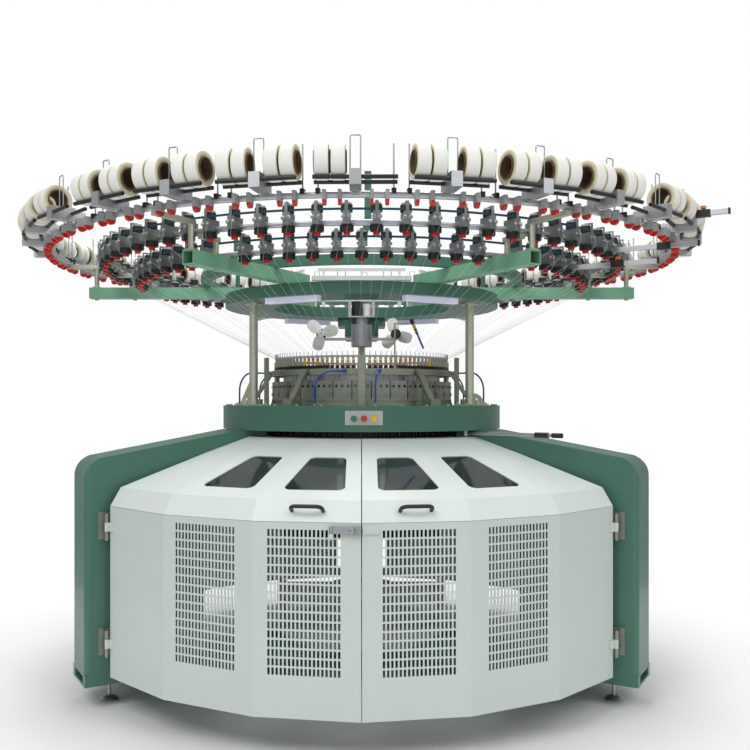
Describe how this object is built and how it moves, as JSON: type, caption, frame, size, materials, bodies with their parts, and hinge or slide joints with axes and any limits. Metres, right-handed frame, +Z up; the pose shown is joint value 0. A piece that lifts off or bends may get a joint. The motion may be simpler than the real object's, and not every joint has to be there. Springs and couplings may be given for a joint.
{
  "type": "large-diameter circular knitting machine",
  "caption": "Circular knitting machine with a needle cylinder and cam boxes on a three-legged bed, folded guard doors, and an overhead creel of storage feeders and yarn bobbins.",
  "frame": {"origin": "machine axis at floor level, under the levelling feet", "axes": "+Z up along the cylinder axis, -Y toward the front door seam, +X to the right of the machine seen from the front"},
  "size_m": [3.5518, 3.5384, 2.471],
  "materials": {
    "machine_green": "satin machine enamel",
    "light_green": "satin machine enamel",
    "bright_steel": "ground steel",
    "ring_aluminium": "drawn aluminium",
    "lamp_cover": "frosted lamp cover",
    "white_plastic": "smooth white plastic",
    "grey_plastic": "light grey plastic",
    "black_plastic": "black moulded plastic",
    "red_plastic": "glossy red plastic",
    "green_plastic": "glossy green plastic",
    "yellow_plastic": "glossy yellow plastic",
    "tan_plastic": "tan ceramic-like plastic",
    "belt_rubber": "dark teal toothed belt",
    "black_rubber": "ground rubber cover",
    "blue_hose": "soft blue tubing",
    "yarn_cotton": "wound white yarn",
    "brown_card": "brown paper-board tube",
    "grey_paint": "light grey enamel",
    "panel_grey": "pale grey-green powder coat",
    "sheet_white": "off-white powder coat",
    "tinted_glass": "smoke-tinted clear sheet",
    "black_gear": "oiled black iron",
    "motor_paint": "dark grey enamel"
  },
  "bodies": {
    "machine": {"bottom_frame": "machine_green", "levelling_feet": "bright_steel", "legs": "machine_green", "bed_ring": "machine_green", "columns": "machine_green", "middle_ring": "machine_green", "work_lights": "lamp_cover", "cable_ducts": "white_plastic", "creel_arms": "light_green", "upper_ring": "machine_green", "creel_posts": "bright_steel", "creel_rings": "ring_aluminium", "feeder_bodies": "grey_plastic", "feed_wheels": "black_plastic", "signal_lamps": "red_plastic", "feed_belts": "belt_rubber", "roller_blocks": "ring_aluminium", "bobbin_rollers": "black_plastic", "bobbins": "yarn_cotton", "bobbin_cores": "brown_card", "guard_wires": "bright_steel", "stop_housings": "grey_plastic", "tensioner_rails": "ring_aluminium", "bridge_arm": "machine_green", "fan_carrier": "bright_steel", "button_panel": "grey_paint", "hinge_brackets": "bright_steel", "rear_guards": "sheet_white", "rear_windows": "tinted_glass", "drive_motor": "motor_paint", "cam_base_ring": "grey_paint", "cam_boxes": "bright_steel", "guide_ring": "grey_paint", "guide_supports": "grey_paint", "yarn_guides": "tan_plastic", "head_hoses": "blue_hose"},
    "carriage_outer": {"tensioner_carriage_outer": "black_plastic"},
    "carriage_middle": {"tensioner_carriage_middle": "black_plastic"},
    "carriage_inner": {"tensioner_carriage_inner": "black_plastic"},
    "fan_left": {"fan_left": "white_plastic"},
    "fan_right": {"fan_right": "white_plastic"},
    "button_green": {"button_green": "green_plastic"},
    "button_red": {"button_red": "red_plastic"},
    "button_yellow": {"button_yellow": "yellow_plastic"},
    "turning_lever": {"turning_lever": "bright_steel"},
    "door_left": {"door_left_panel": "panel_grey", "door_left_hood": "sheet_white", "door_left_windows": "tinted_glass", "door_left_handle": "black_plastic"},
    "door_right": {"door_right_panel": "panel_grey", "door_right_hood": "sheet_white", "door_right_windows": "tinted_glass", "door_right_handle": "black_plastic"},
    "latch": {"door_latch": "bright_steel"},
    "rotor": {"drive_gear": "black_gear", "needle_cylinder": "bright_steel", "takedown_frame": "grey_paint"},
    "roller_front": {"takedown_roller_front": "black_rubber"},
    "roller_rear": {"takedown_roller_rear": "black_rubber"},
    "pinion": {"drive_pinion": "bright_steel"}
  },
  "joints": [
    {"name": "door_right_hinge", "type": "hinge", "parent": "machine", "child": "door_right", "pos_m": [1.15922, -0.87248, 0.315], "axis": [0, 0, 1], "range_deg": [0, 110]},
    {"name": "door_left_hinge", "type": "hinge", "parent": "machine", "child": "door_left", "pos_m": [-1.15922, -0.87248, 0.315], "axis": [0, 0, 1], "range_deg": [-110, 0]},
    {"name": "latch_pivot", "type": "hinge", "parent": "door_left", "child": "latch", "pos_m": [-0.11943, -1.43355, 0.915], "axis": [0, 0, 1], "range_deg": [-120, 0]},
    {"name": "rotor_bearing", "type": "hinge", "parent": "machine", "child": "rotor", "pos_m": [0, 0, 1.255], "axis": [0, 0, 1], "continuous": true},
    {"name": "pinion_shaft", "type": "hinge", "parent": "machine", "child": "pinion", "pos_m": [0.56638, 0.327, 1.255], "axis": [0, 0, 1], "continuous": true},
    {"name": "front_roller_bearing", "type": "hinge", "parent": "rotor", "child": "roller_front", "pos_m": [0, -0.0362, 0.7], "axis": [1, 0, 0], "continuous": true},
    {"name": "rear_roller_bearing", "type": "hinge", "parent": "rotor", "child": "roller_rear", "pos_m": [0, 0.0362, 0.7], "axis": [1, 0, 0], "continuous": true},
    {"name": "fan_left_shaft", "type": "hinge", "parent": "machine", "child": "fan_left", "pos_m": [-0.222, -0.041, 1.79], "axis": [0, -1, 0], "continuous": true},
    {"name": "fan_right_shaft", "type": "hinge", "parent": "machine", "child": "fan_right", "pos_m": [0.189, 0.041, 1.79], "axis": [0, 1, 0], "continuous": true},
    {"name": "button_green_press", "type": "slide", "parent": "machine", "child": "button_green", "axis": [0, 1, 0], "range_m": [0, 0.004], "stiffness_N_per_m": 800},
    {"name": "button_red_press", "type": "slide", "parent": "machine", "child": "button_red", "axis": [0, 1, 0], "range_m": [0, 0.004], "stiffness_N_per_m": 800},
    {"name": "button_yellow_press", "type": "slide", "parent": "machine", "child": "button_yellow", "axis": [0, 1, 0], "range_m": [0, 0.004], "stiffness_N_per_m": 800},
    {"name": "lever_pivot", "type": "hinge", "parent": "machine", "child": "turning_lever", "pos_m": [0.5202, -0.46839, 1.26], "axis": [0, 0, 1], "range_deg": [-25, 0]},
    {"name": "carriage_outer_slide", "type": "slide", "parent": "machine", "child": "carriage_outer", "axis": [0.8594, -0.5113, 0], "range_m": [-0.028, 0.06]},
    {"name": "carriage_middle_slide", "type": "slide", "parent": "machine", "child": "carriage_middle", "axis": [0.866, -0.5, 0], "range_m": [-0.1, 0.1]},
    {"name": "carriage_inner_slide", "type": "slide", "parent": "machine", "child": "carriage_inner", "axis": [0.8434, -0.5373, 0], "range_m": [-0.014, 0.14]}
  ],
  "couplings": [
    {"joint": "pinion_shaft", "follows": "rotor_bearing", "ratio": -11.111},
    {"joint": "rear_roller_bearing", "follows": "front_roller_bearing", "ratio": -1}
  ]
}
